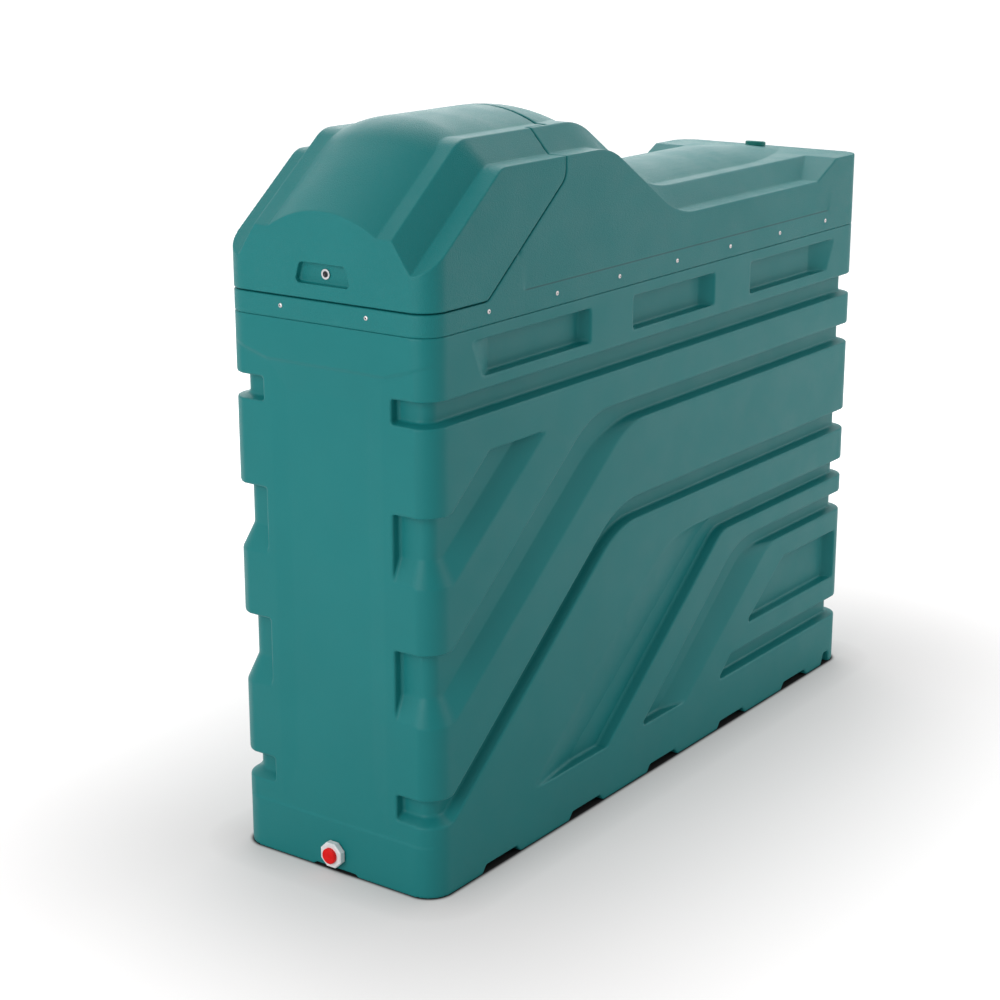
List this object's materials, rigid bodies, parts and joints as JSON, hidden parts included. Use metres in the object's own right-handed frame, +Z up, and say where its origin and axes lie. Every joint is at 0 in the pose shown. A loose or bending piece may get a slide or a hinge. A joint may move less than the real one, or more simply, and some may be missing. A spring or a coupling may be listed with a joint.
{
  "type": "bunded oil tank",
  "caption": "Slimline bunded plastic oil tank with moulded diagonal side grooves, weather cover, hinged lockable lid and plugged outlet.",
  "frame": {"origin": "middle of the bund's base, on the ground; the drain outlet stands out past the bund at -X", "axes": "+Z up, X along the tank's length with the lid and outlet end at -X, Y across its width"},
  "size_m": [2.108, 0.612, 1.809],
  "materials": {
    "tank_green": "fine moulded texture",
    "cap_green": "fine moulded texture",
    "inner_plastic": "moulded",
    "black_plastic": "moulded",
    "white_plastic": "moulded",
    "red_plastic": "gloss",
    "black_rubber": "matt",
    "zinc_steel": "zinc plated",
    "plated_lock": "plated",
    "dark_lock": "dark",
    "brass": "turned"
  },
  "bodies": {
    "tank": {"bund_shell": "tank_green", "top_cover": "tank_green", "hinge_bracket_near": "zinc_steel", "hinge_bracket_far": "zinc_steel", "hinge_pin_near": "zinc_steel", "hinge_pin_far": "zinc_steel", "inner_tank": "inner_plastic", "outlet_body": "white_plastic", "outlet_nut": "white_plastic", "outlet_gasket": "black_rubber", "outlet_back_nut": "white_plastic", "outlet_plug": "red_plastic", "lock_keeper": "zinc_steel", "manhole_gasket": "black_rubber", "manhole_lid": "black_plastic", "fill_pipe": "black_plastic", "fill_cap": "black_plastic", "vent_pipe": "black_plastic", "inner_vent_cap": "black_plastic", "gauge_head": "white_plastic", "draw_off_valve": "brass", "valve_wheel": "red_plastic", "vent_cap": "cap_green"},
    "hatch": {"lid": "tank_green", "hinge_leaf_near": "zinc_steel", "hinge_leaf_far": "zinc_steel", "lock_ring": "plated_lock", "lock_nut": "plated_lock"},
    "lock_rotor": {"lock_plug": "dark_lock", "lock_cam": "plated_lock"}
  },
  "joints": [
    {"name": "lid_hinge", "type": "hinge", "parent": "tank", "child": "hatch", "pos_m": [-0.48, 0, 1.787], "axis": [0, 1, 0], "range_deg": [0, 105]},
    {"name": "lock_turn", "type": "hinge", "parent": "hatch", "child": "lock_rotor", "pos_m": [-1.024, 0, 1.477], "axis": [1, 0, 0], "range_deg": [0, 90]}
  ]
}
